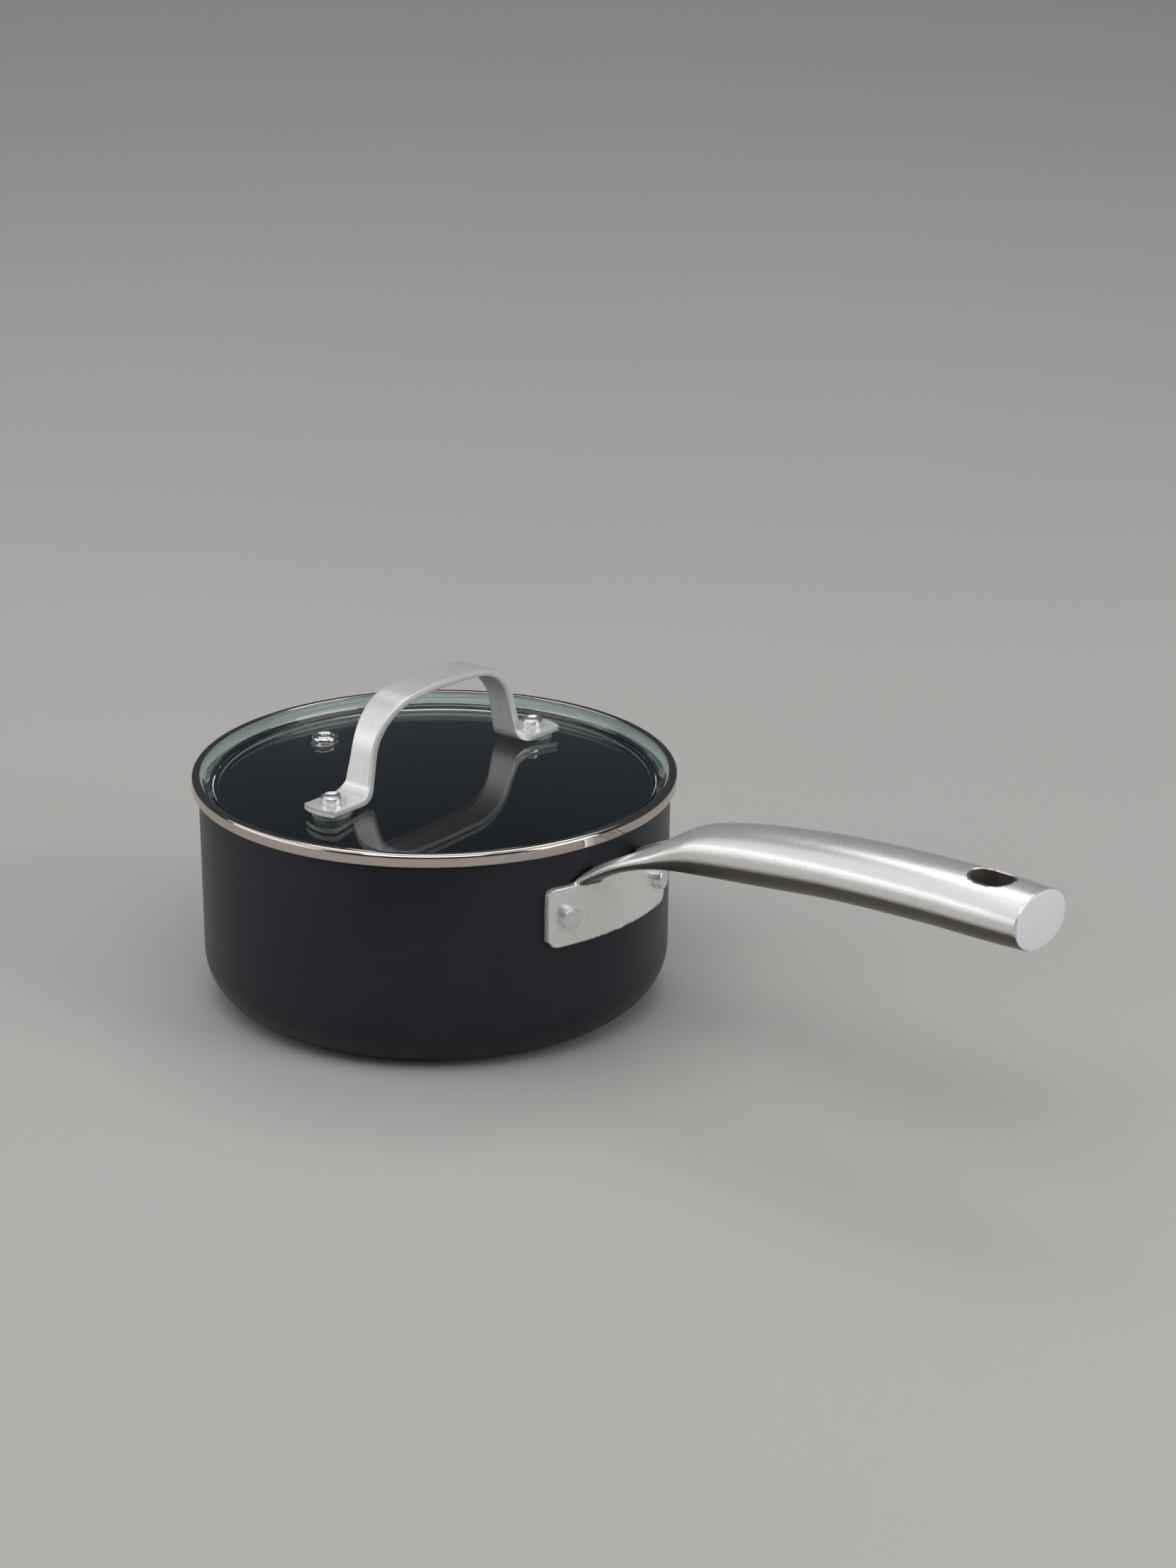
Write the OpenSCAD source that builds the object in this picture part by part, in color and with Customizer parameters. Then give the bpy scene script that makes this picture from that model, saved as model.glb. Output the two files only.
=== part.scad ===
// Lidded saucepan: drawn aluminium pan with a riveted, forked hollow handle,
// and a steel-banded tempered glass lid with a bent strap handle and a vent.
// Origin: centre of the pan's base. +Z up, +X along the long handle.

/* [Pan] */
// Inner diameter of the pan
pan_bore_d = 160; // [150:1:170]
// Height of the pan's rim above the table
pan_h = 77; // [72:1:84]
// Thickness of the pan's side wall
wall_t = 2.5; // [2:0.1:3]
// Thickness of the pan's base
base_t = 4.5; // [3:0.5:6]
// Outside radius between the base and the side wall
corner_r = 18.2; // [12:0.2:22]
// How much further out the wall is at the rim than at the base
wall_flare = 0.5; // [0:0.1:1]

/* [Long handle] */
// Distance from the pan's axis to the handle's free end
handle_reach = 256; // [246:1:262]
// Half of the angle between the two rivets
rivet_half_angle = 16.1; // [14:0.1:17]
// Height of the two rivets above the table
rivet_z = 54.2; // [50:0.1:57]
// Width of the plate that is riveted to the pan
plate_w = 60.6; // [56:0.2:64]
// Height of the plate
plate_h = 21.7; // [20:0.1:24]
// Thickness of the plate
plate_t = 2.5; // [2:0.1:3]
// Wall thickness of the hollow grip
grip_wall = 2.2; // [1.6:0.1:2.6]
// Distance from the pan's axis to the middle of the hanging hole
hang_x = 237; // [230:0.5:240]
// Half of the hanging hole's width
hang_r = 6.4; // [5:0.1:7]
// How much longer than wide the hanging hole is
hang_stretch = 3.8; // [2:0.2:5]

/* [Lid] */
// Outside diameter of the steel rim band
band_d = 170; // [168:0.5:172]
// Height of the steel rim band
band_h = 4.7; // [4.5:0.1:5.2]
// Thickness of the steel rim band
band_t = 0.5; // [0.4:0.05:0.6]
// Thickness of the glass
glass_t = 4; // [3.5:0.1:4.2]
// Radius of curvature of the glass's shallow dome
dome_r = 640; // [560:5:800]
// Height of the dome's top above the table
dome_top = 82; // [81.5:0.1:82.4]
// Radius of the groove round the dome
groove_r = 76.3; // [75.5:0.1:76.6]
// Distance from the lid's axis to the steam vent
vent_x = 53; // [48:0.5:56]

/* [Lid handle] */
// Distance between the two lid rivets
lid_rivet_pitch = 104; // [100:0.5:106]
// Height of the top of the strap above the table
strap_top_z = 116; // [112:0.5:120]
// Width of the strap at its feet
foot_w = 14.2; // [13:0.1:15]
// Width of the strap at the bottom of its legs
knee_w = 10.6; // [8:0.1:12]
// Width of the strap at the top of its legs
leg_w = 9.6; // [7:0.1:12]
// Width of the strap at its top
bridge_w = 13.4; // [11:0.1:14]
// Thickness of the strap at its feet
foot_t = 2; // [1.8:0.1:2.4]
// Thickness of the strap at its legs
leg_t = 3; // [2:0.1:3.4]

/* [Hidden] */
$fn = 96;
eps = 0.02;

// pan
bore_r = pan_bore_d / 2;
rim_r = bore_r + wall_t;
foot_r = rim_r - wall_flare;
lid_gap = 0.05;
rim_top = pan_h - lid_gap;
rim_bead = wall_t / 2;
flare = wall_flare / (rim_top - rim_bead - corner_r);
inner_corner_r = corner_r - wall_t;
pan_rivet_r = 2.6;
pan_head_r = 3.6;
pan_head_h = 3;
pan_tail_r = 4.6;
pan_tail_h = 1.6;

// lid levels, measured from the table
band_r = band_d / 2;
band_top = pan_h + band_h;
seal_t = 0.25;
flange_r = band_r - band_t - seal_t;
flange_top = band_top - band_t - seal_t;
flange_low = pan_h + band_t + seal_t;
groove_z = dome_z(groove_r);

// lid handle
foot_top = 83.45;
foot_low = foot_top - foot_t;
rivet_y = lid_rivet_pitch / 2;
lid_rivet_r = 2.4;
lid_head_r = 3.8;
lid_head_h = 3.1;
grommet_low = dome_z(rivet_y) - glass_t - 1.6;
grommet_r = 3.2;
washer_t = 0.8;
tail_z = grommet_low - washer_t;

// height of the glass's top face at a distance from the axis
function dome_z(r) = dome_top - dome_r + sqrt(dome_r * dome_r - r * r);

// radius of the pan's outer wall at a height
function wall_r(z) = foot_r + flare * (z - corner_r);

// points along an arc, from angle a0 to a1
function arc(c, r, a0, a1, n = 8) =
    [for (i = [0 : n]) let (a = a0 + (a1 - a0) * i / n) [c[0] + r * cos(a), c[1] + r * sin(a)]];

// smooth curve through the stations of a table: column c at x
function seg(x, t, i = 0) = (i >= len(t) - 2 || x < t[i + 1][0]) ? i : seg(x, t, i + 1);
function slope(t, i, c) =
    let (a = max(i - 1, 0), b = min(i + 1, len(t) - 1)) (t[b][c] - t[a][c]) / (t[b][0] - t[a][0]);
function curve(x, t, c) =
    let (i = seg(x, t), h = t[i + 1][0] - t[i][0], u = (x - t[i][0]) / h)
    (2 * u * u * u - 3 * u * u + 1) * t[i][c]
    + (u * u * u - 2 * u * u + u) * h * slope(t, i, c)
    + (3 * u * u - 2 * u * u * u) * t[i + 1][c]
    + (u * u * u - u * u) * h * slope(t, i + 1, c);

// closed solid through a list of rings with the same number of points
module skin(rings) {
    n = len(rings[0]);
    m = len(rings);
    pts = [for (r = rings) for (p = r) p];
    sides = [for (j = [0 : m - 2]) for (i = [0 : n - 1]) let (k = (i + 1) % n)
        each [[j * n + i, (j + 1) * n + i, j * n + k], [j * n + k, (j + 1) * n + i, (j + 1) * n + k]]];
    low = [[for (i = [0 : n - 1]) i]];
    high = [[for (i = [0 : n - 1]) m * n - 1 - i]];
    polyhedron(points = pts, faces = concat(sides, low, high));
}

// long handle: [x, half width, underside z, top z]
grip_table = [
    [76, 24.6, 57.2, 64.2],
    [81, 20.8, 61, 68.2],
    [85, 17.4, 64, 70.8],
    [90, 13.8, 66.8, 73.6],
    [96, 11.5, 69, 76.6],
    [104, 10.3, 71, 80.4],
    [112, 10, 72.2, 85.4],
    [120, 10.4, 73, 89.8],
    [130, 11, 74.1, 92.8],
    [150, 12.1, 76.3, 96.5],
    [180, 13.3, 79.6, 99.9],
    [215, 13.9, 81.4, 101.8],
    [242, 14.1, 81.8, 102],
    [256, 13.6, 82.3, 101.4]
];
grip_sides = 28;
squareness = 0.92;

// ring of the grip at x, smaller by inset all round
function bend(v) = sign(v) * pow(abs(v), squareness);
function grip_ring(x, inset = 0) =
    let (
        xs = x * 256 / handle_reach,
        a = curve(xs, grip_table, 1) - inset,
        lo = curve(xs, grip_table, 2) + inset,
        hi = curve(xs, grip_table, 3) - inset
    )
    [for (i = [0 : grip_sides - 1]) let (q = 360 * i / grip_sides)
        [x, a * bend(cos(q)), (lo + hi) / 2 + (hi - lo) / 2 * bend(sin(q))]];

module grip_solid(x0, x1, inset = 0, step = 5) {
    n = round((x1 - x0) / step);
    skin([for (i = [0 : n]) grip_ring(x0 + (x1 - x0) * i / n, inset)]);
}

// slot with round ends, long along x
module slot(r, stretch) {
    square([stretch, 2 * r], center = true);
    for (s = [-1, 1]) translate([s * stretch / 2, 0]) circle(r);
}

module rounded_rect(w, h, r) {
    square([w - 2 * r, h], center = true);
    square([w, h - 2 * r], center = true);
    for (x = [-1, 1], y = [-1, 1]) translate([x * (w / 2 - r), y * (h / 2 - r)]) circle(r);
}

// cylinder along the radius of the pan, starting at distance r0
module radial(angle, z, r0, len, rad) {
    rotate([0, 0, angle]) translate([r0, 0, z]) rotate([0, 90, 0]) cylinder(r = rad, h = len);
}

module pan_section() {
    inner_r = bore_r - wall_flare;
    difference() {
        union() {
            polygon([
                [0, 0], [foot_r - corner_r, 0], [foot_r - corner_r, corner_r], [foot_r, corner_r],
                [wall_r(rim_top - rim_bead), rim_top - rim_bead], [0, rim_top - rim_bead]
            ]);
            intersection() {
                translate([foot_r - corner_r, corner_r]) circle(corner_r);
                square([2 * bore_r, corner_r]);
            }
        }
        polygon([
            [-1, base_t], [inner_r - inner_corner_r, base_t],
            [inner_r - inner_corner_r, base_t + inner_corner_r], [inner_r, base_t + inner_corner_r],
            [bore_r, rim_top - rim_bead], [bore_r, rim_top + 1], [-1, rim_top + 1]
        ]);
        intersection() {
            translate([inner_r - inner_corner_r, base_t + inner_corner_r]) circle(inner_corner_r);
            square([2 * bore_r, base_t + inner_corner_r]);
        }
    }
    translate([rim_r - rim_bead, rim_top - rim_bead]) circle(rim_bead);
}

module pan_body() {
    color("#23262b") difference() {
        rotate_extrude() pan_section();
        for (s = [-1, 1]) radial(s * rivet_half_angle, rivet_z, bore_r - 8, 16, pan_rivet_r);
    }
}

// plate that follows the pan's wall
module handle_plate() {
    z0 = rivet_z - plate_h / 2 - 1;
    z1 = rivet_z + plate_h / 2 + 1;
    intersection() {
        rotate_extrude() polygon([
            [wall_r(z0), z0], [wall_r(z0) + plate_t, z0],
            [wall_r(z1) + plate_t, z1], [wall_r(z1), z1]
        ]);
        translate([60, 0, rivet_z]) rotate([90, 0, 90])
            linear_extrude(height = 40) rounded_rect(plate_w, plate_h, 3);
    }
}

// wedge between the two arms of the fork
module fork_gap() {
    apex_x = 107.5;
    apex_r = 2.2;
    translate([0, 0, 50]) linear_extrude(height = 60) {
        polygon([[70, -14.5], [apex_x, -apex_r], [apex_x, apex_r], [70, 14.5]]);
        translate([apex_x, 0]) circle(apex_r);
    }
}

module hang_cut(r) {
    translate([hang_x, 0, 70]) linear_extrude(height = 50) slot(r, hang_stretch);
}

// how far the arms stay off the pan's wall above the plate
arm_gap = 0.9;

module pan_handle() {
    color("#c9c7c2") difference() {
        union() {
            handle_plate();
            difference() {
                grip_solid(76, handle_reach);
                fork_gap();
                cylinder(r = wall_r(rivet_z) + arm_gap, h = 200, center = true);
            }
        }
        grip_solid(122, handle_reach - 6, grip_wall);
        cap_solid(handle_reach - 6 - eps, handle_reach + 1);
        hang_cut(hang_r);
        for (s = [-1, 1]) radial(s * rivet_half_angle, rivet_z, bore_r, 12, pan_rivet_r);
    }
}

// mouth of the grip: the end cap fills its last millimetres
cap_inset = 0.8;
cap_t = 1.6;
module cap_solid(x0, x1) {
    ring = grip_ring(handle_reach, cap_inset);
    translate([x0, 0, 0]) rotate([90, 0, 90])
        linear_extrude(height = x1 - x0) polygon([for (p = ring) [p[1], p[2]]]);
}

module handle_end_cap() {
    color("#b9bbba") cap_solid(handle_reach - cap_t, handle_reach);
}

module hang_hole_sleeve() {
    color("#8f8d88") intersection() {
        difference() {
            hang_cut(hang_r);
            hang_cut(hang_r - 0.8);
        }
        grip_solid(hang_x - 15, hang_x + 15);
    }
}

module handle_rivet(s) {
    face_r = wall_r(rivet_z) + plate_t;
    dome = 0.5;
    rotate([0, 0, s * rivet_half_angle]) translate([0, 0, rivet_z]) rotate([0, 90, 0])
        rotate_extrude() polygon([
            [0, bore_r - 0.3 - pan_tail_h], [pan_tail_r - dome, bore_r - 0.3 - pan_tail_h],
            [pan_tail_r, bore_r - 0.3 - pan_tail_h + dome], [pan_tail_r, bore_r - 0.5],
            [pan_rivet_r, bore_r - 0.5], [pan_rivet_r, face_r + 0.1],
            [pan_head_r, face_r + 0.1], [pan_head_r, face_r + pan_head_h - 0.3],
            [pan_head_r - 0.3, face_r + pan_head_h], [0, face_r + pan_head_h]
        ]);
}

module handle_rivet_left() { color("#b4b6b8") handle_rivet(-1); }
module handle_rivet_right() { color("#b4b6b8") handle_rivet(1); }

// glass: shallow dome, groove, raised flange inside the band
module glass_blank() {
    top_line = concat(
        arc([0, dome_top - dome_r], dome_r, 90, 90 - asin(groove_r / dome_r), 20),
        arc([groove_r + 0.5, groove_z + 1.2], 1.25, 250, 335, 8),
        arc([81.2, flange_top - 3], 3, 160, 90, 8),
        arc([flange_r - 0.8, flange_top - 0.8], 0.8, 90, 0, 4)
    );
    low_line = concat(
        arc([flange_r - 0.8, flange_low + 0.8], 0.8, 0, -90, 4),
        arc([80.8, flange_low - 0.6], 0.6, 90, 144, 4),
        arc([groove_r + 0.1, groove_z - glass_t + 2.4], 2.4, -36, -108, 6),
        arc([0, dome_top - dome_r], dome_r - glass_t, 90 - asin((groove_r - 2) / dome_r), 90, 20)
    );
    rotate_extrude() polygon(concat(top_line, low_line));
}

module lid_glass() {
    color([0.72, 0.8, 0.78, 0.35]) difference() {
        glass_blank();
        for (s = [-1, 1]) translate([0, s * rivet_y, 60]) cylinder(r = grommet_r, h = 30);
        translate([-vent_x, 0, 60]) cylinder(r = vent_barrel_r, h = 30);
    }
}

// rolled steel channel round the glass's edge
module channel(out, top, low, t, lip_top, lip_low) {
    r_top = 1.4;
    r_low = 1;
    outer = concat(
        [[lip_low, low]],
        arc([out - r_low, low + r_low], r_low, -90, 0, 6),
        arc([out - r_top, top - r_top], r_top, 0, 90, 8),
        [[lip_top, top]]
    );
    inner = concat(
        [[lip_top, top - t]],
        arc([out - r_top, top - r_top], r_top - t, 90, 0, 8),
        arc([out - r_low, low + r_low], r_low - t, 0, -90, 6),
        [[lip_low, low + t]]
    );
    rotate_extrude() polygon(concat(outer, inner));
}

module lid_rim_band() {
    color("#d6d3cd") channel(band_r, band_top, pan_h, band_t, 82, 80.9);
}

module lid_rim_seal() {
    out = band_r - band_t;
    color("#4a4d4c") difference() {
        rotate_extrude() polygon(concat(
            [[81.2, pan_h + band_t]],
            arc([band_r - 1, pan_h + 1], 1 - band_t, -90, 0, 6),
            arc([band_r - 1.4, band_top - 1.4], 1.4 - band_t, 0, 90, 8),
            [[82.3, band_top - band_t], [82.3, flange_top]],
            arc([flange_r - 0.8, flange_top - 0.8], 0.8, 90, 0, 4),
            arc([flange_r - 0.8, flange_low + 0.8], 0.8, 0, -90, 4),
            [[81.2, flange_low]]
        ));
    }
}

// steam vent: a rolled eyelet with a washer under the glass
vent_barrel_r = 2.9;
vent_hole_r = 2.1;
vent_flange_r = 4.65;
vent_seat = dome_z(vent_x) - 0.1;
vent_washer_low = dome_z(vent_x) - glass_t - 0.9;
module vent_eyelet() {
    low = vent_washer_low - 0.7;
    roll = 0.8;
    hub = vent_hole_r + 0.7;
    color("#d9d8d5") difference() {
        translate([-vent_x, 0, 0]) rotate_extrude() {
            polygon([
                [vent_hole_r, low], [4, low], [4, low + 0.7], [vent_barrel_r, low + 0.7],
                [vent_barrel_r, vent_seat - 0.4], [vent_flange_r - roll, vent_seat - 0.4],
                [vent_flange_r - roll, vent_seat + 0.9], [hub, vent_seat + 0.9], [hub, vent_seat + 1.4],
                [vent_hole_r, vent_seat + 1.4]
            ]);
            translate([vent_flange_r - roll, vent_seat + roll]) circle(roll);
            translate([hub - 0.35, vent_seat + 1.4]) circle(0.35);
        }
        difference() {
            glass_blank();
            translate([-vent_x, 0, 60]) cylinder(r = vent_barrel_r, h = 40);
        }
    }
}

module vent_washer() {
    color("#8d9089") difference() {
        translate([-vent_x, 0, vent_washer_low]) cylinder(r = 5, h = 2);
        translate([-vent_x, 0, 60]) cylinder(r = vent_barrel_r, h = 40);
        glass_blank();
    }
}

// strap handle: outer face followed from the middle of the top to the foot's end
bridge_half = 17.8;
bridge_t = 2.6;
bridge_r = 150;
shoulder_r = 22.5;
leg_angle = 76.5;
bend_r = 5;
bridge_angle = asin(bridge_half / bridge_r);
shoulder_z = strap_top_z - bridge_r * (1 - cos(bridge_angle));
leg_y0 = bridge_half + shoulder_r * (sin(leg_angle) - sin(bridge_angle));
leg_z0 = shoulder_z - shoulder_r * (cos(bridge_angle) - cos(leg_angle));
leg_z1 = foot_top + bend_r * (1 - cos(leg_angle));
leg_y1 = leg_y0 + (leg_z0 - leg_z1) / tan(leg_angle);
foot_y0 = leg_y1 + bend_r * sin(leg_angle);
foot_y1 = rivet_y + 8;

// each entry: y, z, downward slope of the strap, width, thickness
function mixed(a, b, u) = a + (b - a) * (1 - cos(180 * u)) / 2;
strap_half = concat(
    [for (i = [0 : 4]) let (q = bridge_angle * i / 4)
        [bridge_r * sin(q), strap_top_z - bridge_r * (1 - cos(q)), q, bridge_w, bridge_t]],
    [for (i = [1 : 10]) let (q = bridge_angle + (leg_angle - bridge_angle) * i / 10, u = i / 10)
        [bridge_half + shoulder_r * (sin(q) - sin(bridge_angle)),
         shoulder_z - shoulder_r * (cos(bridge_angle) - cos(q)), q,
         mixed(bridge_w, leg_w, u), mixed(bridge_t, leg_t, u)]],
    [for (i = [1 : 4]) let (u = i / 5)
        [leg_y0 + (leg_y1 - leg_y0) * u, leg_z0 + (leg_z1 - leg_z0) * u, leg_angle,
         mixed(leg_w, knee_w, u), leg_t]],
    [for (i = [0 : 7]) let (q = leg_angle * (1 - i / 7), u = i / 7)
        [foot_y0 - bend_r * sin(q), foot_top + bend_r * (1 - cos(q)), q,
         knee_w + (foot_w - knee_w) * sin(90 * u), mixed(leg_t, foot_t, u)]],
    [[foot_y1, foot_top, 0, foot_w, foot_t]]
);
strap_path = concat(
    [for (i = [len(strap_half) - 1 : -1 : 1]) let (p = strap_half[i]) [-p[0], p[1], -p[2], p[3], p[4]]],
    strap_half
);

// rectangle with eased corners, from the outer face inwards
function strap_ring(p) =
    let (w = p[3] / 2, t = p[4], e = 0.35, s = sin(p[2]), c = cos(p[2]))
    [for (v = [[-w + e, 0], [w - e, 0], [w, e], [w, t - e], [w - e, t], [-w + e, t], [-w, t - e], [-w, e]])
        [v[0], p[0] - v[1] * s, p[1] - v[1] * c]];

module lid_handle_strap() {
    end_r = 15;
    color("#cfcdc8") difference() {
        intersection() {
            skin([for (p = strap_path) strap_ring(p)]);
            union() {
                translate([-20, -foot_y0, 60]) cube([40, 2 * foot_y0, 80]);
                for (s = [-1, 1]) translate([0, s * (foot_y1 - end_r), 60]) cylinder(r = end_r, h = 40);
            }
        }
        for (s = [-1, 1]) translate([0, s * rivet_y, 60]) cylinder(r = lid_rivet_r, h = 60);
    }
}

module lid_rivet(s) {
    top = foot_top + lid_head_h;
    tail_r = 4;
    translate([0, s * rivet_y, 0]) rotate_extrude() polygon([
        [0, tail_z - 1.4], [tail_r - 0.5, tail_z - 1.4], [tail_r, tail_z - 0.9], [tail_r, tail_z],
        [lid_rivet_r, tail_z], [lid_rivet_r, foot_top], [lid_head_r, foot_top],
        [lid_head_r, top - 0.6], [lid_head_r - 0.6, top], [lid_head_r - 1.2, top],
        [lid_head_r - 1.6, top - 0.3], [0, top - 0.3]
    ]);
}

module lid_rivet_left() { color("#bfc0c0") lid_rivet(-1); }
module lid_rivet_right() { color("#bfc0c0") lid_rivet(1); }

module ring_at(s, z, h, r_out, r_in) {
    translate([0, s * rivet_y, z]) difference() {
        cylinder(r = r_out, h = h);
        translate([0, 0, -1]) cylinder(r = r_in, h = h + 2);
    }
}

// translucent spacer between a foot and the glass, its underside following the dome
module spacer(s) {
    difference() {
        ring_at(s, groove_z, foot_low - groove_z, foot_w / 2, lid_rivet_r);
        glass_blank();
    }
}
module strap_spacer_left() { color("#5f7f74") spacer(-1); }
module strap_spacer_right() { color("#5f7f74") spacer(1); }

// soft grommet: a sleeve in the glass's hole and a washer below it that follows the dome
module grommet(s) {
    ring_at(s, grommet_low, dome_z(rivet_y + grommet_r) - grommet_low, grommet_r, lid_rivet_r);
    difference() {
        ring_at(s, grommet_low, 3, 6.4, lid_rivet_r);
        glass_blank();
    }
}
module lid_grommet_left() { color("#3c403f") grommet(-1); }
module lid_grommet_right() { color("#3c403f") grommet(1); }

module rivet_washer(s) { ring_at(s, tail_z, washer_t, 5.6, lid_rivet_r); }
module rivet_washer_left() { color("#b9bab8") rivet_washer(-1); }
module rivet_washer_right() { color("#b9bab8") rivet_washer(1); }

pan_body();
pan_handle();
handle_end_cap();
hang_hole_sleeve();
handle_rivet_left();
handle_rivet_right();
lid_glass();
lid_rim_band();
lid_rim_seal();
vent_eyelet();
vent_washer();
lid_handle_strap();
lid_rivet_left();
lid_rivet_right();
strap_spacer_left();
strap_spacer_right();
lid_grommet_left();
lid_grommet_right();
rivet_washer_left();
rivet_washer_right();
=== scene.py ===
"""Looks of the lidded saucepan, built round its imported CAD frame.

Metres, unless a comment says otherwise. +X runs along the long handle and +Z up.
The origin is the middle of the pan's base.
"""
import math

import bmesh
import bpy
from mathutils import Matrix, Vector


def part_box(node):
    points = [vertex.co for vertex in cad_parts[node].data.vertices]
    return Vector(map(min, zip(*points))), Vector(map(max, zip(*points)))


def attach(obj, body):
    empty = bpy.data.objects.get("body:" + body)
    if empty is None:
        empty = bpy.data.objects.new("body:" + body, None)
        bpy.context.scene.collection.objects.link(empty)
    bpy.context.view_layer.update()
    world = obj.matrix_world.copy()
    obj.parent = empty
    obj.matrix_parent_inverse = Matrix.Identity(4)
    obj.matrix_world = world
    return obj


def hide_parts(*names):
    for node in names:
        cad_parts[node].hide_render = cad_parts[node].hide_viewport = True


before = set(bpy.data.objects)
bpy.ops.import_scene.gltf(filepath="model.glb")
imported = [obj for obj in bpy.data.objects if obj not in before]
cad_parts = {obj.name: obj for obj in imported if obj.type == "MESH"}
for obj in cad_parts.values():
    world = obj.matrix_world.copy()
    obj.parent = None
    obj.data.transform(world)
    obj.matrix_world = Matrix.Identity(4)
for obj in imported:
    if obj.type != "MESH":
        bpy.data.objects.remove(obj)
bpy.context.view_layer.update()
MM = 0.001
TURN = 2 * math.pi

# ---------------------------------------------------------------- sizes, read from the frame

band_low, band_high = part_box("lid_rim_band")
pan_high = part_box("pan_body")[1]
strap_low, strap_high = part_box("lid_handle_strap")
rivet_low, rivet_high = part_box("lid_rivet_right")
vent_low, vent_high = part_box("vent_eyelet")
spacer_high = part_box("strap_spacer_right")[1]
cap_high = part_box("handle_end_cap")[1]
hole_low, hole_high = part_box("hang_hole_sleeve")

BAND_R = min(band_high.x, -band_low.x, band_high.y, -band_low.y)
BAND_TOP = band_high.z
BAND_LOW = band_low.z
RIM_R = pan_high.x
RIM_TOP = pan_high.z
REACH = cap_high.x
STRAP_TOP = strap_high.z
STRAP_END = strap_high.y
FOOT_W = strap_high.x - strap_low.x
RIVET_Y = (rivet_low.y + rivet_high.y) / 2
RIVET_TOP = rivet_high.z
RIVET_LOW = rivet_low.z
VENT_X = (vent_low.x + vent_high.x) / 2
HOLE_X = (hole_low.x + hole_high.x) / 2
HOLE_R = (hole_high.y - hole_low.y) / 2
HOLE_STRETCH = (hole_high.x - hole_low.x) - 2 * HOLE_R
DOME_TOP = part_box("lid_glass")[1].z

# Sizes that the frame's boxes do not show.
WALL = 2.5 * MM
BASE = 4.5 * MM
CORNER_R = 18.2 * MM
FLARE = 0.5 * MM
GLASS = 4 * MM
BAND_T = 0.5 * MM
GROOVE_R = 76.3 * MM
DOME_R = 640 * MM
RIVET_ANGLE = math.radians(16.1)
RIVET_Z = 54.2 * MM
PLATE_W = 60.6 * MM
PLATE_H = 21.7 * MM
PLATE_T = 2.5 * MM
CAP_SEAT = 0.45 * MM
FOOT_TOP = RIVET_TOP - 3.1 * MM
BRIDGE_W = 13.4 * MM
BRIDGE_T = 2.6 * MM
LEG_W = 9.6 * MM
LEG_T = 3 * MM
KNEE_W = 10.6 * MM
FOOT_T = 2 * MM

# ---------------------------------------------------------------- mesh helpers


def arc(centre, radius, start, end, steps=8):
    """Points on an arc, angles in degrees."""
    out = []
    for i in range(steps + 1):
        a = math.radians(start + (end - start) * i / steps)
        out.append((centre[0] + radius * math.cos(a), centre[1] + radius * math.sin(a)))
    return out


def finish_mesh(name, verts, faces, uvs=None, sharp=32):
    """A smooth-shaded object from points and faces; edges sharper than `sharp` degrees stay crisp."""
    mesh = bpy.data.meshes.new(name)
    mesh.from_pydata(verts, [], faces)
    if uvs:
        layer = mesh.uv_layers.new(name="along")
        for loop in mesh.loops:
            layer.data[loop.index].uv = uvs[loop.vertex_index]
    mesh.validate()
    obj = bpy.data.objects.new(name, mesh)
    bpy.context.scene.collection.objects.link(obj)
    bm = bmesh.new()
    bm.from_mesh(mesh)
    bmesh.ops.remove_doubles(bm, verts=bm.verts, dist=1e-6)
    bmesh.ops.recalc_face_normals(bm, faces=bm.faces)
    bm.to_mesh(mesh)
    bm.free()
    mesh.shade_smooth()
    mesh.set_sharp_from_angle(angle=math.radians(sharp))
    return obj


def lathe(name, profile, steps=192, centre=(0, 0), sharp=32):
    """Turns a closed outline of (radius, height) points about a vertical axis."""
    verts, faces, uvs = [], [], []
    count = len(profile)
    run = [0]
    for a, b in zip(profile, profile[1:]):
        run.append(run[-1] + math.dist(a, b))
    for i in range(steps):
        c, s = math.cos(TURN * i / steps), math.sin(TURN * i / steps)
        for j, (r, z) in enumerate(profile):
            verts.append((centre[0] + r * c, centre[1] + r * s, z))
            uvs.append((i / steps * TURN * 0.08, run[j]))
    for i in range(steps):
        k = (i + 1) % steps
        for j in range(count):
            m = (j + 1) % count
            faces.append((i * count + j, k * count + j, k * count + m, i * count + m))
    return finish_mesh(name, verts, faces, uvs, sharp)


def loft(name, rings, sharp=32, uvs=None):
    """A closed solid through rings that all have the same number of points."""
    n = len(rings[0])
    verts = [p for ring in rings for p in ring]
    faces = []
    for j in range(len(rings) - 1):
        for i in range(n):
            k = (i + 1) % n
            faces.append((j * n + i, j * n + k, (j + 1) * n + k, (j + 1) * n + i))
    faces.append(tuple(range(n)))
    faces.append(tuple(range((len(rings) - 1) * n, len(rings) * n)))
    return finish_mesh(name, verts, faces, uvs, sharp)


def prism(name, outline, low, high):
    """A vertical prism over an outline of (x, y) points."""
    return loft(name, [[(x, y, z) for x, y in outline] for z in (low, high)])


def slot_outline(x, radius, stretch, steps=24):
    """A slot with round ends, long along X."""
    return arc((x + stretch / 2, 0), radius, -90, 90, steps) + arc((x - stretch / 2, 0), radius, 90, 270, steps)


def boolean(obj, other, operation):
    """Applies one solid to another and removes the second."""
    mod = obj.modifiers.new("cut", "BOOLEAN")
    mod.operation = operation
    mod.object = other
    mod.solver = "EXACT"
    apply_modifiers(obj)
    bpy.data.objects.remove(other)


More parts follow.
